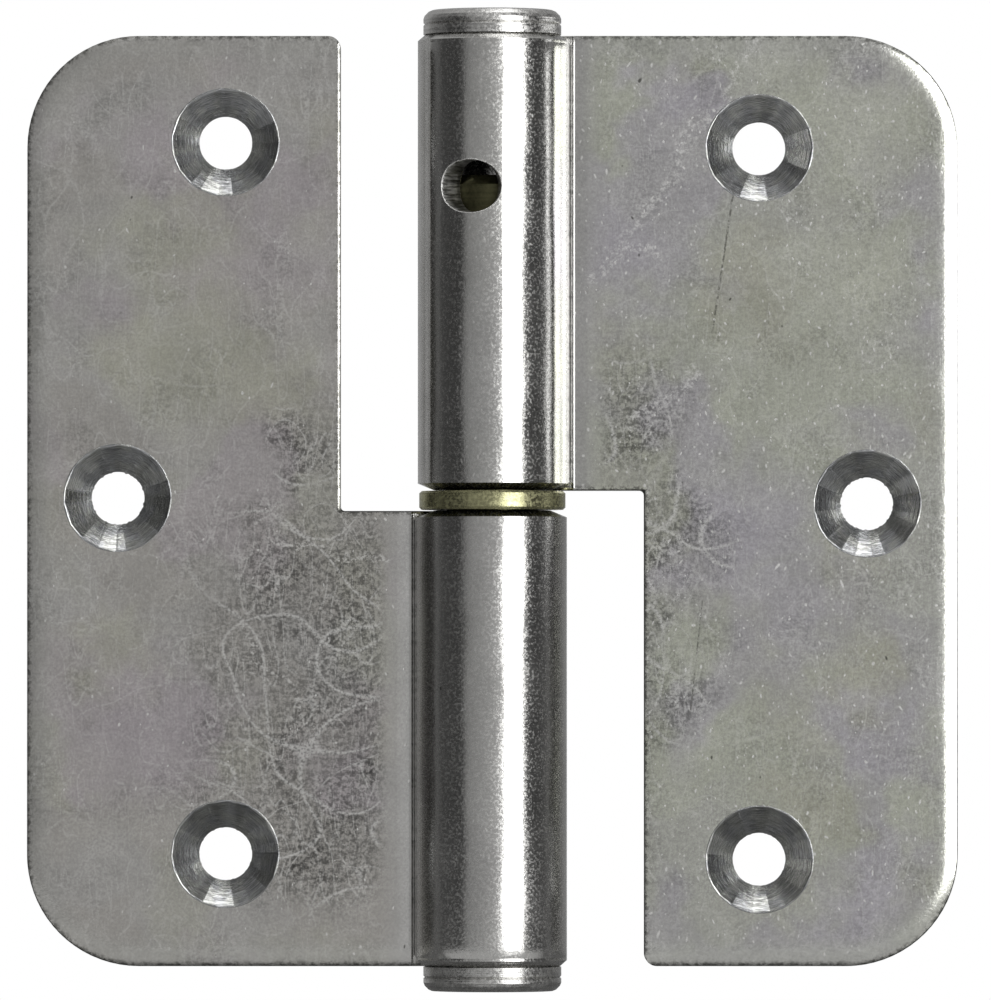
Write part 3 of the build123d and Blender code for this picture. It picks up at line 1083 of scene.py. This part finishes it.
def floor_disc(drop, radius, spokes=96, rings=11):
    """Round floor: points on spokes at equal angles and on rings of growing radius, at one height.
    Triangles join the middle point to the first ring, and quads join each ring to the next."""
    angles = np.linspace(0, 2 * np.pi, spokes, endpoint=False)
    radii = radius * np.arange(1, rings + 1) / rings
    ring = np.stack([np.outer(radii, np.cos(angles)), np.outer(radii, np.sin(angles))], axis=-1)
    flat = np.concatenate([[[0.0, 0.0]], ring.reshape(-1, 2)])
    points = np.column_stack([flat, np.full(len(flat), -drop)])
    spoke = np.arange(spokes)
    beside = (spoke + 1) % spokes
    middle = np.column_stack([np.zeros(spokes, int), 1 + spoke, 1 + beside])
    inner = 1 + spokes * np.arange(rings - 1)[:, None]
    outer = inner + spokes
    corners = [inner + spoke, outer + spoke, outer + beside, inner + beside]
    quads = np.stack(corners, axis=-1).reshape(-1, 4)
    mesh = bpy.data.meshes.new("floor")
    mesh.from_pydata(points.tolist(), [], middle.tolist() + quads.tolist())
    made = bpy.data.objects.new("floor", mesh)
    bpy.context.scene.collection.objects.link(made)
    return made


def pale_floor(radius):
    """Plain pale floor that fades at its rim to white for the camera, and to nothing otherwise.

    A glow that only the camera sees lifts it. Metal sees the floor darker, with painted shade:
    pale in front of the hinge and a painted shadow under it.
    """
    material, g = new_material("pale_floor")
    x, y, _ = g.split(g.node("ShaderNodeTexCoord").outputs["Object"])
    path = g.node("ShaderNodeLightPath").outputs
    # Painted shade seen only in reflections: darker than the floor's own colour, and darkest under the
    # hinge
    floor_in_metal_painted_shade = g.mix(g.span(y, -0.042, -0.024), (0.66, 0.66, 0.66), (0.20, 0.20, 0.20))
    matt = g.node("ShaderNodeBsdfDiffuse")
    g.feed(matt.inputs["Color"], g.mix(path["Is Glossy Ray"], (0.78, 0.78, 0.77), floor_in_metal_painted_shade))
    glow = g.node("ShaderNodeEmission")
    g.feed(glow.inputs["Strength"], g.product(path["Is Camera Ray"], 0.45))
    lifted = g.node("ShaderNodeAddShader")
    g.feed(lifted.inputs[0], matt.outputs[0])
    g.feed(lifted.inputs[1], glow.outputs[0])
    white = g.node("ShaderNodeEmission")
    g.feed(white.inputs["Strength"], path["Is Camera Ray"])
    clear = g.node("ShaderNodeBsdfTransparent")
    rim = g.node("ShaderNodeMixShader")
    whole = g.node("ShaderNodeMixShader")
    fade = g.span(g.vector("LENGTH", g.join(x, y, 0.0)), radius * 0.45, radius * 0.98)
    for mixed, factor, first, second in (
        (rim, path["Is Camera Ray"], clear, white),
        (whole, fade, lifted, rim),
    ):
        g.feed(mixed.inputs[0], factor)
        g.feed(mixed.inputs[1], first.outputs[0])
        g.feed(mixed.inputs[2], second.outputs[0])
    output = g.node("ShaderNodeOutputMaterial")
    g.feed(output.inputs["Surface"], whole.outputs[0])
    return material


class HINGE_OT_stage(bpy.types.Operator):
    """Make the floor, the surround, the lamps and the camera"""

    bl_idname = "hinge.stage"
    bl_label = "Stage"

    def execute(self, context):
        scene = context.scene
        stage = scene.hinge_stage
        scene.view_settings.view_transform = "Standard"
        scene.world = bpy.data.worlds.new("surround")
        surround(scene.world, above=0.5, below=0.05)
        floor = floor_disc(stage.floor_drop, stage.floor_radius)
        floor.data.materials.append(pale_floor(stage.floor_radius))

        middle = (0.0, 0.0, 0.0)
        right = stage.key_distance * math.sin(stage.key_turn)
        forward = stage.key_distance * math.cos(stage.key_turn)
        strip_lamp("key_strip", (right, -forward, 0.0), middle, 0.68, 1.6, stage.key_level)
        strip_lamp("top_light", (0.15, -0.14, 0.9), middle, 0.60, 0.40, stage.top_level)
        strip_lamp("rear_card", (0.13, 0.04, 0.03), (0.05, 0.0, 0.03), 0.08, 0.055, stage.card_level)

        camera = bpy.data.cameras.new("camera")
        camera.sensor_width = 36.0
        camera.lens = camera.sensor_width * stage.camera_distance / stage.framed_height
        holder = bpy.data.objects.new("camera", camera)
        scene.collection.objects.link(holder)
        side = 0.34 * MM
        height = 0.05 * MM
        aim(holder, (side, -stage.camera_distance, -stage.camera_drop), (side, 0.0, height))
        scene.camera = holder
        return {"FINISHED"}


class HINGE_PT_sidebar(bpy.types.Panel):
    """Lists the steps that finish the hinge"""

    bl_label = "Hinge"
    bl_space_type = "VIEW_3D"
    bl_region_type = "UI"
    bl_category = "Hinge"

    def draw(self, context):
        for operator in OPERATORS:
            self.layout.operator(operator.bl_idname)
        for group in (context.scene.hinge_sizes, context.scene.hinge_finish, context.scene.hinge_stage):
            box = self.layout.box()
            for name in group.__annotations__:
                box.prop(group, name)


GROUPS = {"hinge_sizes": HingeSizes, "hinge_finish": HingeFinish, "hinge_stage": HingeStage}
OPERATORS = (
    HINGE_OT_leaf_zinc,
    HINGE_OT_turned_parts,
    HINGE_OT_screw_recesses,
    HINGE_OT_oil_hole,
    HINGE_OT_stage,
)


def register():
    for group in GROUPS.values():
        bpy.utils.register_class(group)
    for operator in OPERATORS:
        bpy.utils.register_class(operator)
    bpy.utils.register_class(HINGE_PT_sidebar)
    for name, group in GROUPS.items():
        setattr(bpy.types.Scene, name, bpy.props.PointerProperty(type=group))


def unregister():
    for name in GROUPS:
        delattr(bpy.types.Scene, name)
    bpy.utils.unregister_class(HINGE_PT_sidebar)
    for operator in reversed(OPERATORS):
        bpy.utils.unregister_class(operator)
    for group in reversed(GROUPS.values()):
        bpy.utils.unregister_class(group)


def main():
    register()
    bpy.ops.hinge.leaf_zinc()
    bpy.ops.hinge.turned_parts()
    bpy.ops.hinge.screw_recesses()
    bpy.ops.hinge.oil_hole()
    bpy.ops.hinge.stage()


if __name__ == "__main__":
    main()
